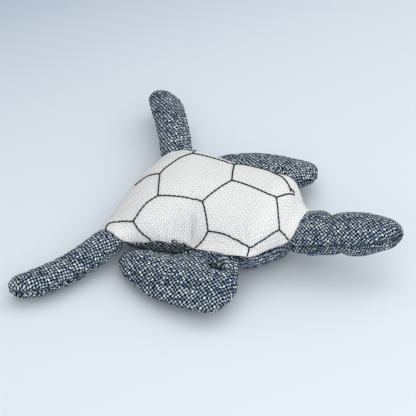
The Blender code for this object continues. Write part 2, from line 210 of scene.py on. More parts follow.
def over_roots(points, roots):
    """Draws the edge of the cloth out and up over a root: x, y, heading, half width, reach, lift, spread."""
    inside = rim_distance(points)
    moved = points.copy()
    for x, y, heading, half_width, reach, lift, spread in roots:
        out = np.array([math.cos(math.radians(heading)), math.sin(math.radians(heading))])
        offset = points[:, :, :2] - np.array([x, y])
        ahead, aside = offset @ out, offset @ np.array([-out[1], out[0]])
        near = np.exp(-(inside / spread) ** 2) * (ahead > -ROOT_DEPTH)
        span = np.exp(-(aside / half_width) ** 6)
        arch = np.sqrt(np.maximum(1.0 - (aside / (half_width * ROOT_OVERHANG)) ** 2, 0.0))
        moved[:, :, :2] += (reach * near * span)[:, :, None] * out
        moved[:, :, 2] += lift * near * span * arch
    return moved


def pressed(points, spots):
    """Lets soft hollows into the cloth, or raises it: x, y, half length, half width, turn and lift."""
    lift = np.zeros(points.shape[:2])
    for x, y, half_long, half_wide, turn, amount in spots:
        c, s = math.cos(math.radians(turn)), math.sin(math.radians(turn))
        dx, dy = points[:, :, 0] - x, points[:, :, 1] - y
        long, wide = (dx * c + dy * s) / half_long, (dy * c - dx * s) / half_wide
        lift += amount * np.exp(-long**2 - wide**2)
    moved = points.copy()
    moved[:, :, 2] += lift
    return moved


def vertex_table(mesh):
    """The places of a mesh's points, one row each."""
    table = np.empty(len(mesh.vertices) * 3)
    mesh.vertices.foreach_get("co", table)
    return table.reshape(-1, 3)


SIMULATION_SCALE = 20.0
SIMULATION_FRAMES = 20
SIMULATION_VOXEL = 0.0014
SEAM_GRIP = 0.0011
BROAD_SHAPE_ROUNDS = 30
NEAREST_POINTS = 6
ROOT_FADE = 0.004
WRINKLE_DEPTH = 0.0012


def wrinkle(piece, seams, place, root, slack, whole_bag):
    """Fills a slack copy of the cloth with air by simulation, and lays its wrinkles over the piece."""
    scene = bpy.context.scene
    bag = bpy.data.objects.new("bag", piece.data.copy())
    scene.collection.objects.link(bag)
    bag.data.transform(Matrix.Scale(SIMULATION_SCALE, 4))
    if whole_bag:
        even = bag.modifiers.new("even", "REMESH")
        even.mode = "VOXEL"
        even.voxel_size = SIMULATION_VOXEL * SIMULATION_SCALE
        bag.data = bpy.data.meshes.new_from_object(bag.evaluated_get(bpy.context.evaluated_depsgraph_get()))
        bag.modifiers.clear()
    still = vertex_table(bag.data)
    seam_tree = KDTree(len(seams))
    for index, spot in enumerate(seams):
        seam_tree.insert(place @ Vector(spot) * SIMULATION_SCALE, index)
    seam_tree.balance()
    from_body = place.inverted()
    held = [
        index for index, spot in enumerate(still)
        if seam_tree.find(spot)[2] < SEAM_GRIP * SIMULATION_SCALE
        or (from_body @ Vector(spot / SIMULATION_SCALE)).x < root
    ]
    bag.vertex_groups.new(name="sewn").add(held, 1.0, "REPLACE")
    cloth = bag.modifiers.new("cloth", "CLOTH")
    cloth.point_cache.frame_end = SIMULATION_FRAMES
    cloth.settings.quality = 4
    cloth.settings.mass = 0.15
    cloth.settings.tension_stiffness = 20.0
    cloth.settings.compression_stiffness = 20.0
    cloth.settings.shear_stiffness = 6.0
    cloth.settings.bending_stiffness = 0.05
    cloth.settings.shrink_min = -slack
    cloth.settings.use_pressure = True
    cloth.settings.uniform_pressure_force = 4.0
    cloth.settings.vertex_group_mass = "sewn"
    cloth.settings.effector_weights.gravity = 0.0
    for frame_number in range(1, SIMULATION_FRAMES + 1):
        scene.frame_set(frame_number)
    filled = bag.evaluated_get(bpy.context.evaluated_depsgraph_get()).to_mesh()
    change = (vertex_table(filled) - still) / SIMULATION_SCALE
    # The broad swelling is left out, because the panels already have their filled form.
    ends = np.array([edge.vertices[:] for edge in bag.data.edges])
    count = np.bincount(ends.ravel(), minlength=len(still))[:, None]
    broad = change.copy()
    for _ in range(BROAD_SHAPE_ROUNDS):
        total = np.zeros_like(broad)
        np.add.at(total, ends[:, 0], broad[ends[:, 1]])
        np.add.at(total, ends[:, 1], broad[ends[:, 0]])
        broad = total / np.maximum(count, 1)
    folds = change - broad
    size = np.linalg.norm(folds, axis=1)[:, None]
    folds *= np.minimum(1.0, WRINKLE_DEPTH / np.maximum(size, 1e-9))
    tree = KDTree(len(still))
    for index, spot in enumerate(still):
        tree.insert(spot, index)
    tree.balance()
    for vert in piece.data.vertices:
        near = tree.find_n(vert.co * SIMULATION_SCALE, NEAREST_POINTS)
        weights = np.array([1.0 / (distance + 1e-4) for _, _, distance in near])
        move = weights @ folds[[index for _, index, _ in near]] / weights.sum()
        share = min(max(((from_body @ vert.co).x - root) / ROOT_FADE, 0.0), 1.0)
        vert.co += Vector(move * share)
    scene.frame_set(1)
    bpy.data.objects.remove(bag)


def add_node(tree, kind, **settings):
    """A new shader node with its settings made."""
    node = tree.nodes.new(kind)
    for key, value in settings.items():
        setattr(node, key, value)
    return node


def feed(tree, socket, value):
    """Joins a socket to another one, or gives it a plain number or colour."""
    if isinstance(value, bpy.types.NodeSocket):
        tree.links.new(value, socket)
    else:
        socket.default_value = value


def reckon(tree, operation, *values):
    """A sum on plain numbers or sockets, by a Math node."""
    node = add_node(tree, "ShaderNodeMath", operation=operation)
    for socket, value in zip(node.inputs, values):
        feed(tree, socket, value)
    return node.outputs[0]


def blend_colours(tree, factor, low, high, blend_type="MIX"):
    """A colour between two others, or their product."""
    node = add_node(tree, "ShaderNodeMix", data_type="RGBA", blend_type=blend_type)
    for socket, value in ((node.inputs[0], factor), (node.inputs[6], low), (node.inputs[7], high)):
        feed(tree, socket, value)
    return node.outputs[2]


YARN_WANDER = 300.0
WARP_SQUARENESS = 2.4
WEFT_EXTRA_SQUARENESS = 2.0
FLOAT_ARCH = 2.7
WARP_NUMBERS_FROM = 511.3


def make_plain_weave():
    """Plain weave on a flat pattern in metres: the yarn on top, its relief, and chance by float and yarn."""
    tree = bpy.data.node_groups.new("plain_weave", "ShaderNodeTree")
    tree.interface.new_socket("Pattern", in_out="INPUT", socket_type="NodeSocketVector")
    for name in ("Thread Spacing", "Unevenness"):
        tree.interface.new_socket(name, in_out="INPUT", socket_type="NodeSocketFloat")
    for name in ("Weft On Top", "Relief", "Float Chance", "Yarn Chance"):
        tree.interface.new_socket(name, in_out="OUTPUT", socket_type="NodeSocketFloat")
    given = add_node(tree, "NodeGroupInput")
    result = add_node(tree, "NodeGroupOutput")
    # Yarns wander a little from their straight lines.
    wander = add_node(tree, "ShaderNodeTexNoise", noise_dimensions="2D")
    feed(tree, wander.inputs["Scale"], YARN_WANDER)
    feed(tree, wander.inputs["Detail"], 2.0)
    feed(tree, wander.inputs["Vector"], given.outputs["Pattern"])
    drift = add_node(tree, "ShaderNodeVectorMath", operation="SUBTRACT")
    feed(tree, drift.inputs[0], wander.outputs["Color"])
    feed(tree, drift.inputs[1], (0.5, 0.5, 0.5))
    shift = add_node(tree, "ShaderNodeVectorMath", operation="SCALE")
    feed(tree, shift.inputs[0], drift.outputs[0])
    feed(tree, shift.inputs["Scale"], given.outputs["Unevenness"])
    counted = add_node(tree, "ShaderNodeVectorMath", operation="SCALE")
    feed(tree, counted.inputs[0], given.outputs["Pattern"])
    feed(tree, counted.inputs["Scale"], reckon(tree, "DIVIDE", 1.0, given.outputs["Thread Spacing"]))
    threads = add_node(tree, "ShaderNodeVectorMath", operation="ADD")
    feed(tree, threads.inputs[0], counted.outputs[0])
    feed(tree, threads.inputs[1], shift.outputs[0])
    split = add_node(tree, "ShaderNodeSeparateXYZ")
    feed(tree, split.inputs[0], threads.outputs[0])
    # Every crossing is one square. The weft is on top of every other one, as on a draughtboard.
    cell_u = reckon(tree, "FLOOR", split.outputs[0])
    cell_v = reckon(tree, "FLOOR", split.outputs[1])
    in_u = reckon(tree, "SUBTRACT", reckon(tree, "SUBTRACT", split.outputs[0], cell_u), 0.5)
    in_v = reckon(tree, "SUBTRACT", reckon(tree, "SUBTRACT", split.outputs[1], cell_v), 0.5)
    weft = reckon(tree, "FLOORED_MODULO", reckon(tree, "ADD", cell_u, cell_v), 2.0)
    warp = reckon(tree, "SUBTRACT", 1.0, weft)
    across = reckon(tree, "ADD", reckon(tree, "MULTIPLY", in_v, weft), reckon(tree, "MULTIPLY", in_u, warp))
    along = reckon(tree, "ADD", reckon(tree, "MULTIPLY", in_u, weft), reckon(tree, "MULTIPLY", in_v, warp))
    edge = reckon(tree, "ABSOLUTE", reckon(tree, "MULTIPLY", across, 2.0))
    squareness = reckon(tree, "MULTIPLY_ADD", weft, WEFT_EXTRA_SQUARENESS, WARP_SQUARENESS)
    edge = reckon(tree, "POWER", edge, squareness)
    body = reckon(tree, "SUBTRACT", 1.0, reckon(tree, "MINIMUM", edge, 1.0))
    arch = reckon(tree, "MAXIMUM", reckon(tree, "COSINE", reckon(tree, "MULTIPLY", along, FLOAT_ARCH)), 0.0)
    feed(tree, result.inputs["Relief"], reckon(tree, "MULTIPLY", body, arch))
    feed(tree, result.inputs["Weft On Top"], weft)
    cell = add_node(tree, "ShaderNodeCombineXYZ")
    feed(tree, cell.inputs[0], cell_u)
    feed(tree, cell.inputs[1], cell_v)
    by_float = add_node(tree, "ShaderNodeTexWhiteNoise", noise_dimensions="2D")
    feed(tree, by_float.inputs["Vector"], cell.outputs[0])
    feed(tree, result.inputs["Float Chance"], by_float.outputs["Value"])
    warp_number = reckon(tree, "MULTIPLY", reckon(tree, "ADD", cell_u, WARP_NUMBERS_FROM), warp)
    by_yarn = add_node(tree, "ShaderNodeTexWhiteNoise", noise_dimensions="1D")
    feed(tree, by_yarn.inputs["W"], reckon(tree, "MULTIPLY_ADD", cell_v, weft, warp_number))
    feed(tree, result.inputs["Yarn Chance"], by_yarn.outputs["Value"])
    return tree


plain_weave = make_plain_weave()


def woven_material(name, thread_spacing, unevenness, bump_strength, bump_distance):
    """A cloth material with the plain weave in it, raised by its relief. Its colour comes later."""
    material = bpy.data.materials.new(name)
    material.use_nodes = True
    tree = material.node_tree
    shader = tree.nodes["Principled BSDF"]
    pattern = add_node(tree, "ShaderNodeUVMap")
    weave = add_node(tree, "ShaderNodeGroup", node_tree=plain_weave)
    feed(tree, weave.inputs["Pattern"], pattern.outputs["UV"])
    feed(tree, weave.inputs["Thread Spacing"], thread_spacing)
    feed(tree, weave.inputs["Unevenness"], unevenness)
    bump = add_node(tree, "ShaderNodeBump")
    feed(tree, bump.inputs["Strength"], bump_strength)
    feed(tree, bump.inputs["Distance"], bump_distance)
    feed(tree, bump.inputs["Height"], weave.outputs["Relief"])
    feed(tree, shader.inputs["Normal"], bump.outputs["Normal"])
    return material, tree, shader, pattern, weave


CANVAS_THREAD = 0.0015
CANVAS_GRAIN = math.radians(8.0)
CANVAS_UNEVENNESS = 0.4
CANVAS_GAP_SHADE_POWER = 0.45
WHITE = (1.0, 1.0, 1.0, 1.0)
DARKEST_YARN = (0.965, 0.965, 0.965, 1.0)
DARKEST_SLUB = (0.95, 0.95, 0.945, 1.0)
WARP_PAINTED_SHADE = (0.90, 0.90, 0.895, 1.0)
CANVAS_GAP_PAINTED_SHADE = (0.45, 0.45, 0.445, 1.0)


def make_canvas():
    """Off-white yarns of slightly unlike tone, with painted shade making the warp floats a little darker
    than the weft, and painted shade in the gaps.
    """
    material, tree, shader, _, weave = woven_material(
        "undyed_canvas", CANVAS_THREAD, CANVAS_UNEVENNESS, bump_strength=0.8, bump_distance=0.0003
    )
    yarn = blend_colours(tree, weave.outputs["Yarn Chance"], DARKEST_YARN, WHITE)
    slub = blend_colours(tree, weave.outputs["Float Chance"], DARKEST_SLUB, WHITE)
    # Painted shade: the warp floats are made a little darker, as though less light falls on them than on the
    # weft floats.
    facing = blend_colours(tree, weave.outputs["Weft On Top"], WARP_PAINTED_SHADE, WHITE)
    slub = blend_colours(tree, 1.0, slub, facing, "MULTIPLY")
    yarn = blend_colours(tree, 1.0, yarn, slub, "MULTIPLY")
    # Painted shade: the yarns darken towards the gaps between them and the ends of each float, following the
    # weave's relief.
    gap = reckon(tree, "POWER", weave.outputs["Relief"], CANVAS_GAP_SHADE_POWER)
    shade = blend_colours(tree, gap, CANVAS_GAP_PAINTED_SHADE, WHITE)
    feed(tree, shader.inputs["Base Color"], blend_colours(tree, 1.0, yarn, shade, "MULTIPLY"))
    shader.inputs["Roughness"].default_value = 0.9
    shader.inputs["Specular IOR Level"].default_value = 0.2
    shader.inputs["Sheen Weight"].default_value = 0.1
    return material


CLOTH_THICKNESS = 0.0012


def sheet_of_cloth(name, points, grain, facing):
    """One panel as a sheet with the cloth's thickness, its outer side where the points lie."""
    bm = bmesh.new()
    lay_panel(bm, points, cloth_plan(points, grain), facing)
    piece = finish_mesh(bm, name)
    wall = piece.modifiers.new("cloth", "SOLIDIFY")
    wall.thickness = CLOTH_THICKNESS
    wall.offset = -1.0
    return piece


BODY_ROWS = 150
BODY_COLUMNS = 120
BACK_RISE = 0.0255
BACK_ROUNDING = {"start_round": 0.041, "end_round": 0.020, "squareness": 2.25}
BACK_RIM = {"depth": 0.0008, "width": 0.0012, "ripple": 0.0003, "seed": 11}
# Over each root the rim is drawn out and lies higher.
COVERED_ROOTS = (
    (0.0595, 0.0, 0.0, 0.0165, 0.0045, 0.0090, 0.0075),
    (0.0255, -0.0397, -89.2, 0.0200, 0.0072, 0.0048, 0.0040),
    (0.0219, 0.0397, 86.1, 0.0150, 0.0045, 0.0048, 0.0045),
    (-0.0475, -0.0440, -108.0, 0.0130, 0.0080, 0.0075, 0.0070),
    (-0.0475, 0.0440, 116.0, 0.0130, 0.0045, 0.0055, 0.0070),
)
# Between the roots the seam is drawn up by the pull of the topstitching.
BARE_SIDES = (
    (-0.008, -0.0415, -90.0, 0.0155, 0.0, 0.0034, 0.0060),
    (-0.008, 0.0425, 90.0, 0.0155, 0.0, 0.0034, 0.0060),
)
# The tail corners go down. Above the right front flipper is a dimple with a lip of canvas beside it.
BACK_HOLLOWS = (
    (-0.0600, -0.0460, 0.0060, 0.0060, 0.0, -0.0035),
    (-0.0600, 0.0460, 0.0060, 0.0060, 0.0, -0.0035),
    (0.0020, -0.0370, 0.0090, 0.0028, -22.0, -0.0046),
    (-0.0090, -0.0390, 0.0090, 0.0060, 5.0, -0.0036),
    (0.0060, -0.0335, 0.0070, 0.0022, -35.0, 0.0012),
    (0.0400, -0.0450, 0.0060, 0.0060, 0.0, 0.0020),
)
BACK_SLACK = 0.03

body_sleeve = Sleeve(body_edge(BODY_CORNERS[0]), body_edge(BODY_CORNERS[1]), BODY_ROWS, BODY_COLUMNS)
seam_height = body_seam(body_sleeve.flat[:, :, 0])
rounding, crown = body_sleeve.swell(**BACK_ROUNDING)
back_height = seam_height + BACK_RISE * rounding * crown
back_points = np.concatenate([body_sleeve.flat, back_height[:, :, None]], axis=2)
back_points = rolled_rim(back_points, **BACK_RIM)
back_points = over_roots(back_points, COVERED_ROOTS + BARE_SIDES)
back_points = pressed(back_points, BACK_HOLLOWS)
back = sheet_of_cloth("back", back_points, CANVAS_GRAIN, 1)
back.data.materials.append(make_canvas())
back_rim = [*back_points[:, 0], *back_points[:, -1], *back_points[0], *back_points[-1]]
wrinkle(back, back_rim, Matrix.Identity(4), root=-1.0, slack=BACK_SLACK, whole_bag=False)
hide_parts("carapace_panel")
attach(back, "body")

# The topstitching is thick black thread in long stitches through the canvas alone, which draws the
# plates of a shell. It was sewn before the back was joined to the belly.
STITCH_LENGTH = 0.0031
STITCH_GAP = 0.00005
STITCH_THICKNESS = 0.00115
STITCH_SUNK_SHARE = 0.2
STEPS_ALONG_LINE = 60
THREAD_PLY = 2200.0
DARKEST_THREAD = (0.004, 0.0045, 0.006, 1.0)
PALEST_THREAD = (0.022, 0.024, 0.03, 1.0)
# Each entry is one line of stitches, as x and y on the back in millimetres.
SHELL_LINES_MM = (
    ((-36.2, -2.1), (-40.8, -2.0), (-46.3, -2.5), (-51.2, -9.0)),
    ((-26.8, -23.6), (-36.2, -2.1)),
    ((-36.2, -2.1), (-35.7, 4.3), (-34.3, 8.7), (-31.8, 18.5), (-27.2, 27.7), (-33.0, 46.0)),
    ((-27.2, 27.7), (-14.1, 26.9), (-2.8, 25.4), (5.2, 23.2)),
    ((5.2, 23.2), (9.4, 11.3), (13.3, 1.5)),
    ((5.2, 23.2), (7.2, 27.5), (14.0, 30.5), (26.0, 29.5), (33.5, 23.8), (38.0, 38.0)),
    ((13.3, 1.5), (20.1, 0.9), (26.7, -0.4), (33.6, -2.1), (40.8, -4.0), (46.2, -3.6)),
    ((46.2, -3.6), (47.9, 0.1), (49.7, 4.7), (51.1, 7.9), (52.7, 10.8)),
    ((46.2, -3.6), (49.3, -8.7), (51.7, -13.0), (54.8, -17.8)),
    ((33.5, 23.8), (39.6, 20.2), (43.8, 16.9), (46.6, 14.5), (48.6, 12.2), (50.5, 9.6)),
    ((48.6, 12.2), (50.3, 12.2), (52.1, 12.2)),
    ((13.3, 1.5), (9.1, -7.5), (5.8, -15.3), (3.4, -21.3)),
    ((3.4, -21.3), (-2.2, -20.6), (-7.4, -20.6), (-13.1, -21.2), (-19.0, -22.2), (-26.8, -23.6)),
    ((-26.8, -23.6), (-31.6, -29.2), (-33.6, -33.8), (-34.6, -37.6), (-35.9, -41.0)),
    ((3.4, -21.3), (7.3, -26.0), (10.3, -30.1), (14.0, -35.5)),
    (
        (14.0, -35.5), (13.1, -37.4), (12.0, -39.3), (11.0, -40.9), (9.5, -42.8),
        (8.4, -44.0), (7.6, -45.0),
    ),
    (
        (14.0, -35.5), (18.7, -35.4), (24.3, -35.4), (29.2, -35.7), (34.2, -36.2),
        (38.6, -36.8), (42.6, -36.7),
    ),
    ((42.6, -36.7), (43.0, -38.0), (43.2, -40.5), (43.3, -42.5)),
    (
        (42.6, -36.7), (43.9, -35.7), (45.0, -34.6), (46.9, -31.9), (48.9, -28.8),
        (50.7, -25.6), (54.8, -17.8),
    ),
    ((54.8, -17.8), (57.6, -16.5), (59.2, -16.3), (61.0, -16.0)),
    ((-35.9, -41.0), (-32.9, -43.0), (-30.7, -44.2), (-26.7, -44.9), (-22.3, -44.8), (-20.5, -45.2)),
    (
        (-35.9, -41.0), (-44.8, -41.1), (-48.7, -42.0), (-51.6, -42.8), (-52.7, -44.0),
        (-52.2, -47.0), (-51.6, -49.0),
    ),
)


def add_stitch(bm, centre, forward, lean, length):
    """One stitch: a small ball drawn out to a rod with round ends, half sunk in the cloth."""
    aside = lean.cross(forward).normalized()
    place = Matrix((forward, aside, forward.cross(aside))).transposed().to_4x4()
    place.translation = centre
    ball = bmesh.ops.create_uvsphere(bm, u_segments=6, v_segments=6, radius=STITCH_THICKNESS / 2.0)
    stretch = (length - STITCH_THICKNESS) / 2.0
    ahead = [vert for vert in ball["verts"] if vert.co.z > STITCH_THICKNESS * 0.01]
    behind = [vert for vert in ball["verts"] if vert.co.z < -STITCH_THICKNESS * 0.01]
    bmesh.ops.translate(bm, verts=ahead, vec=(0.0, 0.0, stretch))
    bmesh.ops.translate(bm, verts=behind, vec=(0.0, 0.0, -stretch))
    lay_down = place @ Matrix.Rotation(math.radians(90.0), 4, "Y")
    bmesh.ops.transform(bm, matrix=lay_down, verts=ball["verts"])


back_mesh = bmesh.new()
back_mesh.from_mesh(back.data)
back_surface = BVHTree.FromBMesh(back_mesh)
back_mesh.free()
stitches = bmesh.new()
for line in SHELL_LINES_MM:
    spots, leans = [], []
    for start, end in zip(line, line[1:]):
        for t in np.linspace(0.0, 1.0, STEPS_ALONG_LINE):
            x, y = (start[axis] + (end[axis] - start[axis]) * t for axis in range(2))
            above = Vector((x, y, 200.0)) / 1000.0
            spot, lean, _, _ = back_surface.ray_cast(above, Vector((0.0, 0.0, -1.0)))
            if spot is not None:
                spots.append(spot)
                leans.append(lean)
    run = np.concatenate([[0.0], np.cumsum([(b - a).length for a, b in zip(spots, spots[1:])])])
    count = max(1, round(run[-1] / (STITCH_LENGTH + STITCH_GAP)))
    pitch = run[-1] / count
    for index in range(count):
        first, last, middle = (
            Vector([np.interp(at, run, [spot[axis] for spot in spots]) for axis in range(3)])
            for at in (index * pitch, (index + 1.0) * pitch, (index + 0.5) * pitch)
        )
        lean = Vector([
            np.interp((index + 0.5) * pitch, run, [lean[axis] for lean in leans]) for axis in range(3)
        ]).normalized()
        centre = middle + lean * (STITCH_THICKNESS * STITCH_SUNK_SHARE)
        add_stitch(stitches, centre, (last - first).normalized(), lean, pitch - STITCH_GAP)
for face in stitches.faces:
    face.smooth = True
topstitching = finish_mesh(stitches, "topstitching")
thread = bpy.data.materials.new("black_thread")
thread.use_nodes = True
thread_tree = thread.node_tree
thread_shader = thread_tree.nodes["Principled BSDF"]
thread_place = add_node(thread_tree, "ShaderNodeTexCoord")
ply = add_node(thread_tree, "ShaderNodeTexNoise")
feed(thread_tree, ply.inputs["Scale"], THREAD_PLY)
feed(thread_tree, ply.inputs["Vector"], thread_place.outputs["Object"])
thread_colour = blend_colours(thread_tree, ply.outputs["Fac"], DARKEST_THREAD, PALEST_THREAD)
feed(thread_tree, thread_shader.inputs["Base Color"], thread_colour)
thread_shader.inputs["Roughness"].default_value = 0.75
thread_shader.inputs["Specular IOR Level"].default_value = 0.25
topstitching.data.materials.append(thread)
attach(topstitching, "body")

# The belly is one piece of the coarse tweed, pressed flat where the toy rests. It shows as a dark band
# under the rim of the back, and runs on into the underside of the neck.
BELLY_ROUNDING = {"start_round": 0.036, "end_round": 0.034, "squareness": 2.8}
BELLY_SUNK = 0.0005
BELLY_RIM = {"depth": 0.0012, "width": 0.0012, "ripple": 0.0003, "seed": 12}
# The throat bulges down under the neck, with a hollow at each side of it.
THROAT = (
    (0.0560, 0.0, 0.0060, 0.0220, 0.0, -0.0060),
    (0.0430, -0.0370, 0.0070, 0.0060, 0.0, 0.0030),
    (0.0430, 0.0370, 0.0070, 0.0060, 0.0, 0.0030),
)
THROAT_RIM = 0.002
TWEED_THREAD = 0.00142
TWEED_GRAIN = math.radians(8.0)
TWEED_UNEVENNESS = 1.5
TWEED_GAP_SHADE_POWER = 0.6
FLECK_BY_FLOAT = 0.7
FLECK_BY_YARN = 0.3
FLECK_POWER = 0.95
PATCH_SCALE = 330.0
PATCH_CONTRAST = 2.8
PATCH_DARKENING = -0.20
DARKEST_WEFT = (0.075, 0.145, 0.29, 1.0)
PALEST_WEFT = (0.82, 0.95, 1.0, 1.0)
DARKEST_WARP = (0.001, 0.002, 0.006, 1.0)
PALEST_WARP = (0.012, 0.022, 0.048, 1.0)
TWEED_GAP_PAINTED_SHADE = (0.008, 0.011, 0.02, 1.0)


def make_tweed():
    """Pale weft over near-black warp, so that the pale floats stand out as rows of dots."""
    material, tree, shader, pattern, weave = woven_material(
        "two_tone_tweed", TWEED_THREAD, TWEED_UNEVENNESS, bump_strength=1.0, bump_distance=0.0005
    )
    by_float = reckon(tree, "MULTIPLY", weave.outputs["Float Chance"], FLECK_BY_FLOAT)
    fleck = reckon(tree, "MULTIPLY_ADD", weave.outputs["Yarn Chance"], FLECK_BY_YARN, by_float)
    fleck = reckon(tree, "POWER", fleck, FLECK_POWER)
    patchy = add_node(tree, "ShaderNodeTexNoise", noise_dimensions="2D")
    feed(tree, patchy.inputs["Scale"], PATCH_SCALE)
    feed(tree, patchy.inputs["Detail"], 2.0)
    feed(tree, patchy.inputs["Vector"], pattern.outputs["UV"])
    patches = reckon(tree, "MULTIPLY_ADD", patchy.outputs["Fac"], PATCH_CONTRAST, PATCH_DARKENING)
    fleck = reckon(tree, "MULTIPLY", fleck, patches)
    pale = blend_colours(tree, fleck, DARKEST_WEFT, PALEST_WEFT)
    dark = blend_colours(tree, weave.outputs["Float Chance"], DARKEST_WARP, PALEST_WARP)
    yarns = blend_colours(tree, weave.outputs["Weft On Top"], dark, pale)
    # Painted shade: the yarns darken towards the gaps between them and the ends of each float, following the
    # weave's relief.
    gap = reckon(tree, "POWER", weave.outputs["Relief"], TWEED_GAP_SHADE_POWER)
    shade = blend_colours(tree, gap, TWEED_GAP_PAINTED_SHADE, WHITE)
    feed(tree, shader.inputs["Base Color"], blend_colours(tree, 1.0, yarns, shade, "MULTIPLY"))
    shader.inputs["Roughness"].default_value = 0.92
    shader.inputs["Specular IOR Level"].default_value = 0.06
    return material


tweed = make_tweed()
rounding, crown = body_sleeve.swell(**BELLY_ROUNDING)
belly_height = np.maximum(seam_height - (seam_height + BELLY_SUNK) * rounding * crown, 0.0)
belly_points = np.concatenate([body_sleeve.flat, belly_height[:, :, None]], axis=2)
belly_points = rolled_rim(belly_points, **BELLY_RIM)
belly_points = over_roots(belly_points, BARE_SIDES)
throat = pressed(belly_points, THROAT)
throat[:, :, 2] = np.maximum(throat[:, :, 2], 0.0)
away_from_rim = 1.0 - np.exp(-(rim_distance(belly_points) / THROAT_RIM) ** 2)
belly_points += (throat - belly_points) * away_from_rim[:, :, None]
belly = sheet_of_cloth("belly", belly_points, TWEED_GRAIN, -1)
belly.data.materials.append(tweed)
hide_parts("plastron_panel", "body_stuffing")
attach(belly, "body")

# Each front flipper is a broad paddle of two tweed panels, sewn together, turned and filled. It is
# caught in the body seam by the front of its inner edge only, so it sweeps back along the body.
FRONT_REACH = 0.046
FRONT_FOLD = 0.004
FRONT_HALF_THICKNESS = 0.0074
FRONT_ROOT_ROUND = 0.012
FRONT_TIP_ROUND = 0.016
FRONT_SEAM = {"depth": 0.0011, "width": 0.0011}
FRONT_INNER_SHARES = (
    (0.012, 0.192), (0.0, 0.14), (0.0, 0.0), (0.0, -0.17), (0.15, -0.33),
    (0.21, -0.53), (0.28, -0.67), (0.42, -0.716),
)
FRONT_OUTER_SHARES = (
    (0.57, 0.298), (0.815, 0.25), (0.98, 0.164), (1.0, -0.064), (0.935, -0.315),
    (0.79, -0.496), (0.653, -0.622), (0.511, -0.705),
)
EDGE_POINTS = 400
LEAST_RISE = 0.0005
LIMB_GATHERS = ((0.0046, 0.4), (0.0069, 0.35), (0.0113, 0.35))
LIMB_SLACK = 0.06


def smooth_edge(points):
    """A sewn edge: closely spaced points on a smooth curve through the given ones."""
    known = np.array(points, dtype=float)
    slopes = np.gradient(known, axis=0)
    place = np.linspace(0.0, len(known) - 1, EDGE_POINTS)
    first = np.minimum(place.astype(int), len(known) - 2)
    t = (place - first)[:, None]
    ease = t * t * (3.0 - 2.0 * t)
    bend = slopes[first] * t * (1.0 - t) ** 2 - slopes[first + 1] * t * t * (1.0 - t)
    return known[first] * (1.0 - ease) + known[first + 1] * ease + bend


def limb_place(joint_name, raised):
    """Place of a limb at rest: x outwards, y along the fold in the body seam, z up."""
    joint = next(j for j in frame["joints"] if j["name"] == joint_name)
    fold = Vector(joint["axis"]).normalized()
    out = Vector((fold.y, -fold.x, 0.0)).normalized()
    place = Matrix((out, fold, out.cross(fold))).transposed().to_4x4()
    place.translation = Vector(joint["pos_m"])
    return place @ Matrix.Rotation(-raised, 4, "Y")


def filled_panels(sleeve, thick, root_round, tip_round, bend, tuck=0.0):
    """Upper and lower panel of a filled limb, above and below its seam."""
    rounding, crown = sleeve.swell(root_round, tip_round, 2.0, tuck)
    rise = np.maximum(np.reshape(thick, (-1, 1)) * rounding, LEAST_RISE) * crown
    upper = np.concatenate([sleeve.flat, (bend + rise)[:, :, None]], axis=2)
    lower = np.concatenate([sleeve.flat, (bend - rise)[:, :, None]], axis=2)
    return upper, lower


def seamed(points, depth, width, seed):
    """Pulls the cloth in along the two side seams and lets it pucker a little beside them."""
    rng = np.random.default_rng(seed)
    over = np.linalg.norm(np.diff(points, axis=1), axis=2)
    run = np.concatenate([np.zeros((points.shape[0], 1)), np.cumsum(over, axis=1)], axis=1)
    middle = points[:, points.shape[1] // 2][:, None, :]
    inwards = middle - points
    inwards /= np.maximum(np.linalg.norm(inwards, axis=2), 1e-5)[:, :, None]
    amount = np.zeros(points.shape[:2])
    for edge, distance in ((0, run), (-1, run[:, -1:] - run)):
        along = np.concatenate([[0.0], np.cumsum(np.linalg.norm(np.diff(points[:, edge], axis=0), axis=1))])
        waves = sum(
            np.sin(along / length * 2.0 * np.pi + rng.uniform(0.0, 6.3)) * share
            for length, share in LIMB_GATHERS
        )
        amount += depth * np.exp(-(distance / width) ** 2)
        amount += depth * 0.5 * waves[:, None] * np.exp(-(distance / (GATHER_SPREAD * width)) ** 2)
    return points + inwards * amount[:, :, None]


def sew_limb(name, upper, lower, place, grain, fineness=1.0):
    """Sews an upper and a lower panel into one closed skin and puts it in its place on the body."""
    heading = math.atan2(place.col[0].y, place.col[0].x)
    bm = bmesh.new()
    lay_panel(bm, upper, cloth_plan(upper, grain - heading) * fineness, 1)
    # The lower panel is cut from another part of the cloth, half a metre on.
    lay_panel(bm, lower, cloth_plan(lower, heading - grain) * fineness + 0.5, -1)
    bmesh.ops.remove_doubles(bm, verts=bm.verts[:], dist=1e-6)
    bmesh.ops.holes_fill(bm, edges=[edge for edge in bm.edges if edge.is_boundary], sides=0)
    bmesh.ops.transform(bm, matrix=place, verts=bm.verts[:])
    if bm.calc_volume(signed=True) < 0.0:
        bmesh.ops.reverse_faces(bm, faces=bm.faces[:])
    piece = finish_mesh(bm, name)
    piece.data.materials.append(tweed)
    return piece


def fix_limb(limb):
    """Hides the parts of the frame that a limb stands in for, and bakes the limb's place into its mesh."""
    name = limb.name
    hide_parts(name + "_upper_panel", name + "_lower_panel", name + "_stuffing", name + "_sewn_end")
    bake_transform(limb)


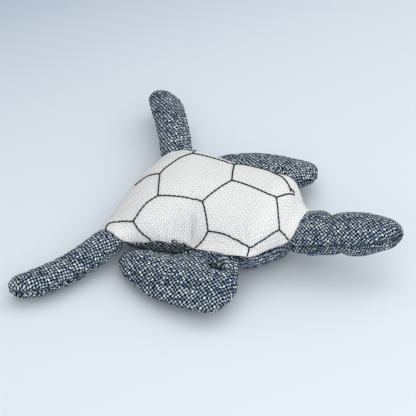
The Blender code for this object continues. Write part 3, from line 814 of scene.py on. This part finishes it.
for side_name, side, raised, length, droop, crease in (
    ("right", -1, -17.0, 0.085, 0.0055, 1.0), ("left", 1, -18.0, 0.079, 0.010, 0.35),
):
    name = "front_" + side_name + "_flipper"
    edges = []
    for shares in (FRONT_INNER_SHARES, FRONT_OUTER_SHARES):
        edges.append(smooth_edge([
            (out * FRONT_REACH - FRONT_FOLD, -side * ahead * length) for out, ahead in shares
        ]))
    sleeve = Sleeve(edges[0], edges[1], stations=120, steps=72)
    behind = np.maximum(side * sleeve.flat[:, :, 1] / length, 0.0)
    bend = -droop * (behind / FRONT_INNER_SHARES[-1][1]) ** 2
    upper, lower = filled_panels(sleeve, FRONT_HALF_THICKNESS, FRONT_ROOT_ROUND, FRONT_TIP_ROUND, bend)
    # The inner rim sags away from the body, behind a pocket where the sewn part ends.
    sag = (
        (0.000, side * 0.0270, 0.0160, 0.0095, 90.0, -0.0052),
        (0.002, side * 0.0160, 0.0080, 0.0085, 90.0, -0.0030),
    )
    upper, lower = pressed(upper, sag), pressed(lower, sag)
    # Stuffing pushes up a roll along the seam. Beyond it the cloth is creased into a V.
    upper = pressed(upper, (
        (0.0035, side * -0.003, 0.0130, 0.0028, 90.0, 0.0024),
        (0.0085, side * 0.005, 0.0060, 0.0030, -70.0 * side, 0.0010),
        (0.0074, side * -0.0004, 0.0056, 0.0027, -55.0 * side, -0.0110 * crease),
        (0.0102, side * -0.0075, 0.0062, 0.0027, -82.0 * side, -0.0100 * crease),
        (0.0035, side * -0.0130, 0.0050, 0.0050, 90.0, -0.0034),
        (0.0215, side * -0.0160, 0.0085, 0.0020, -52.0 * side, -0.0016),
        (0.0190, side * -0.0050, 0.0110, 0.0060, -60.0 * side, 0.0010),
    ))
    # However deep the crease, its bottom stays above the lower cloth.
    upper[:, :, 2] = np.maximum(upper[:, :, 2], lower[:, :, 2] * 0.6 + bend * 0.4)
    upper, lower = (seamed(panel, **FRONT_SEAM, seed=20 + side) for panel in (upper, lower))
    place = limb_place(name + "_flap", math.radians(raised))
    flipper = sew_limb(name, upper, lower, place, TWEED_GRAIN)
    wrinkle(flipper, [*upper[:, 0], *upper[:, -1]], place, root=0.002, slack=LIMB_SLACK, whole_bag=True)
    fix_limb(flipper)

# Each rear flipper is a plump straight tube of two tweed panels with a slanted round end, sewn in
# under the corner of the back. The right one sags between root and tip, and the left one bows up.
REAR_LENGTH = 0.0805
REAR_HALF_WIDTH = 0.0115
REAR_HALF_THICKNESS = 0.0078
REAR_FOLD = 0.0055
REAR_BEND = 0.0058
REAR_ROOT_ROUND = 0.010
REAR_TIP_ROUND = 0.0117
REAR_TUCK = 0.002
REAR_SEAM = {"depth": 0.0012, "width": 0.0011}
REAR_LEADING_SHARES = (
    (-0.025, 0.87), (0.0, 0.87), (0.12, 0.96), (0.3, 1.0), (0.5, 0.99), (0.68, 1.01),
    (0.82, 0.85), (0.93, 0.46), (0.99, -0.04),
)
REAR_TRAILING_SHARES = (
    (-0.025, 0.88), (0.0, 0.88), (0.12, 0.96), (0.3, 0.95), (0.5, 0.97), (0.7, 1.01),
    (0.88, 0.99), (0.97, 0.75), (1.0, 0.43),
)
for side_name, side, raised, bow in (("right", -1, -2.5, -0.0032), ("left", 1, 2.1, 0.0043)):
    name = "rear_" + side_name + "_flipper"
    edges = []
    for direction, shares in ((1, REAR_LEADING_SHARES), (-1, REAR_TRAILING_SHARES)):
        edges.append(smooth_edge([
            (
                share * REAR_LENGTH - REAR_FOLD,
                -side * (direction * half * REAR_HALF_WIDTH - REAR_BEND * share**2),
            )
            for share, half in shares
        ]))
    sleeve = Sleeve(edges[0], edges[1], stations=130, steps=40)
    share = np.clip((sleeve.flat[:, :, 0] + REAR_FOLD) / REAR_LENGTH, 0.0, 1.0)
    bend = bow * np.sin(np.pi * share) ** 2
    upper, lower = filled_panels(
        sleeve, REAR_HALF_THICKNESS, REAR_ROOT_ROUND, REAR_TIP_ROUND, bend, REAR_TUCK
    )
    upper, lower = (seamed(panel, **REAR_SEAM, seed=30 + side) for panel in (upper, lower))
    place = limb_place(name + "_flap", math.radians(raised))
    flipper = sew_limb(name, upper, lower, place, TWEED_GRAIN)
    wrinkle(flipper, [*upper[:, 0], *upper[:, -1]], place, root=0.004, slack=LIMB_SLACK, whole_bag=True)
    fix_limb(flipper)

# The head is a tapering sleeve of two tweed panels, filled hard. Its open end is caught in the body
# seam, where the cloth bunches into a collar with a waist behind the cheeks.
HEAD_LENGTH = 0.0675
HEAD_HALF_WIDTH = 0.0155
HEAD_HALF_THICKNESS = 0.0131
HEAD_LEAN = 0.0096
HEAD_RAISE = math.radians(11.8)
NECK_FOLD = 0.0095
UPPER_NECK_ROUND = 0.009
LOWER_NECK_ROUND = 0.005
NOSE_ROUND = 0.007
NECK_TUCK = 0.001
HEAD_SEAM = {"depth": 0.0012, "width": 0.0010, "seed": 41}
HEAD_WEAVE_FINENESS = 1.15
NECK_RADIUS = 0.017
COLLAR_AT = 0.004
COLLAR_WIDTH = 0.007
COLLAR_RISE_SHARE = 0.07
WAIST_AT = 0.0165
WAIST_SLANT = 0.0045
WAIST_WIDTH = 0.0042
WAIST_DEPTH_SHARE = 0.13
PLEATS_AT = -0.002
PLEATS_WIDTH = 0.010
PLEATS_RISE_SHARE = 0.035
PLEATS_SEED = 43
# How many pleats there are round the neck, and how high they are among the rest.
PLEAT_COUNTS = ((7, 0.4), (11, 0.4), (17, 0.3))
HEAD_EDGE_SHARES = (
    (-0.03, 1.07), (0.0, 1.07), (0.12, 1.02), (0.28, 0.96), (0.42, 0.97), (0.56, 0.98),
    (0.70, 0.89), (0.84, 0.70), (0.95, 0.42), (1.0, 0.20),
)
HEAD_FULLNESS_SHARES = ((0.0, 0.9), (0.2, 0.9), (0.5, 1.0), (0.68, 0.99), (0.85, 0.75), (1.0, 0.50))
head_edges = []
for side in (-1.0, 1.0):
    head_edges.append(smooth_edge([
        (share * HEAD_LENGTH - NECK_FOLD, side * half * HEAD_HALF_WIDTH + HEAD_LEAN * max(share, 0.0) ** 1.5)
        for share, half in HEAD_EDGE_SHARES
    ]))
head_sleeve = Sleeve(head_edges[0], head_edges[1], stations=130, steps=44)
head_fullness = np.interp(head_sleeve.along / head_sleeve.length, *np.array(HEAD_FULLNESS_SHARES).T)
head_thick = HEAD_HALF_THICKNESS * head_fullness


def collared(points):
    """Bunches the cloth where it is sewn in, and draws in the slanting waist behind the cheeks."""
    rng = np.random.default_rng(PLEATS_SEED)
    x = points[:, :, 0]
    share = np.maximum((x + NECK_FOLD) / HEAD_LENGTH, 0.0)
    y = points[:, :, 1] - HEAD_LEAN * share**1.5
    z = points[:, :, 2]
    slant = (y + z) / NECK_RADIUS
    size = 1.0 + COLLAR_RISE_SHARE * np.exp(-(((x - COLLAR_AT) / COLLAR_WIDTH) ** 2))
    size -= WAIST_DEPTH_SHARE * np.exp(-(((x - WAIST_AT + WAIST_SLANT * slant) / WAIST_WIDTH) ** 2))
    angle = np.arctan2(z, y)
    pleats = sum(
        np.sin(count * angle + rng.uniform(0.0, 6.3)) * height for count, height in PLEAT_COUNTS
    )
    size += PLEATS_RISE_SHARE * pleats * np.exp(-(((x - PLEATS_AT) / PLEATS_WIDTH) ** 2))
    return np.stack([x, points[:, :, 1] + y * (size - 1.0), z * size], axis=2)


upper, _ = filled_panels(head_sleeve, head_thick, UPPER_NECK_ROUND, NOSE_ROUND, 0.0, NECK_TUCK)
_, lower = filled_panels(head_sleeve, head_thick, LOWER_NECK_ROUND, NOSE_ROUND, 0.0, NECK_TUCK)
upper, lower = (seamed(collared(panel), **HEAD_SEAM) for panel in (upper, lower))
place = limb_place("neck_nod", HEAD_RAISE)
head = sew_limb("head", upper, lower, place, TWEED_GRAIN, HEAD_WEAVE_FINENESS)
wrinkle(head, [*upper[:, 0], *upper[:, -1]], place, root=-0.002, slack=LIMB_SLACK, whole_bag=True)
fix_limb(head)

# Pale paper floor that darkens away from the camera, soft light from all round and the camera at the
# photograph's angle. None of it belongs to the toy.
CAMERA_TURN = math.radians(25.3)
CAMERA_TILT = math.radians(38.1)
CAMERA_TARGET = Vector((-0.0039, 0.0023, 0.020))
CAMERA_DISTANCE = 1.1
CAMERA_LENS_MM = 146.45
CAMERA_SENSOR_MM = 36.0
FLOOR_SIZE = 3.0
NEAR_PAPER = (0.702, 0.756, 0.812, 1.0)
FAR_PAPER_PAINTED_SHADE = (0.445, 0.521, 0.612, 1.0)
DARKENING_SLANT = -0.55
DARKENING_START = 0.05
DARKENING_LENGTH = 0.45
DARKENING_POWER = 3.0
ROOM_LIGHT = (0.955, 0.98, 1.0, 1.0)
ROOM_LIGHT_STRENGTH = 0.47
paper = bmesh.new()
bmesh.ops.create_grid(paper, x_segments=1, y_segments=1, size=FLOOR_SIZE)
floor = finish_mesh(paper, "floor")
floor_paint = bpy.data.materials.new("pale_paper")
floor_paint.use_nodes = True
floor_tree = floor_paint.node_tree
floor_shader = floor_tree.nodes["Principled BSDF"]
floor_place = add_node(floor_tree, "ShaderNodeTexCoord")
floor_turned = add_node(floor_tree, "ShaderNodeMapping")
floor_turned.inputs["Rotation"].default_value = (0.0, 0.0, -CAMERA_TURN)
feed(floor_tree, floor_turned.inputs["Vector"], floor_place.outputs["Object"])
floor_split = add_node(floor_tree, "ShaderNodeSeparateXYZ")
feed(floor_tree, floor_split.inputs[0], floor_turned.outputs[0])
# Painted shade: the paper's colour darkens away from the camera, standing in for light that falls off there.
floor_painted_shade = reckon(
    floor_tree, "MULTIPLY_ADD", floor_split.outputs[0], DARKENING_SLANT, floor_split.outputs[1]
)
floor_painted_shade = reckon(floor_tree, "ADD", floor_painted_shade, DARKENING_START)
floor_painted_shade = reckon(floor_tree, "DIVIDE", floor_painted_shade, DARKENING_LENGTH)
floor_painted_shade = reckon(floor_tree, "MINIMUM", reckon(floor_tree, "MAXIMUM", floor_painted_shade, 0.0), 1.0)
floor_painted_shade = reckon(floor_tree, "POWER", floor_painted_shade, DARKENING_POWER)
floor_colour = blend_colours(floor_tree, floor_painted_shade, NEAR_PAPER, FAR_PAPER_PAINTED_SHADE)
feed(floor_tree, floor_shader.inputs["Base Color"], floor_colour)
floor_shader.inputs["Roughness"].default_value = 0.9
floor_shader.inputs["Specular IOR Level"].default_value = 0.1
floor.data.materials.append(floor_paint)

world = bpy.data.worlds.new("soft_light")
bpy.context.scene.world = world
world.use_nodes = True
world.node_tree.nodes["Background"].inputs["Color"].default_value = ROOM_LIGHT
world.node_tree.nodes["Background"].inputs["Strength"].default_value = ROOM_LIGHT_STRENGTH
for name, spot, size, energy in (
    ("front_softbox", (0.374, -0.801, 0.884), 1.2, 6.3),
    ("right_softbox", (1.046, -0.280, 0.625), 1.0, 2.5),
    ("back_softbox", (0.500, 0.700, 0.900), 1.2, 3.8),
    ("top_softbox", (-0.10, 0.10, 1.4), 1.2, 4.4),
):
    lamp_data = bpy.data.lights.new(name, "AREA")
    lamp_data.shape = "DISK"
    lamp_data.size = size
    lamp_data.energy = energy
    lamp = bpy.data.objects.new(name, lamp_data)
    bpy.context.scene.collection.objects.link(lamp)
    lamp.location = spot
    lamp.rotation_euler = (-Vector(spot)).to_track_quat("-Z", "Y").to_euler()

camera_data = bpy.data.cameras.new("camera")
camera_data.lens = CAMERA_LENS_MM
camera_data.sensor_width = CAMERA_SENSOR_MM
camera = bpy.data.objects.new("camera", camera_data)
bpy.context.scene.collection.objects.link(camera)
towards_camera = Vector((
    math.sin(CAMERA_TURN) * math.cos(CAMERA_TILT),
    -math.cos(CAMERA_TURN) * math.cos(CAMERA_TILT),
    math.sin(CAMERA_TILT),
))
camera.location = CAMERA_TARGET + towards_camera * CAMERA_DISTANCE
camera.rotation_euler = (-towards_camera).to_track_quat("-Z", "Y").to_euler()
bpy.context.scene.camera = camera
bpy.context.scene.view_settings.view_transform = "Standard"
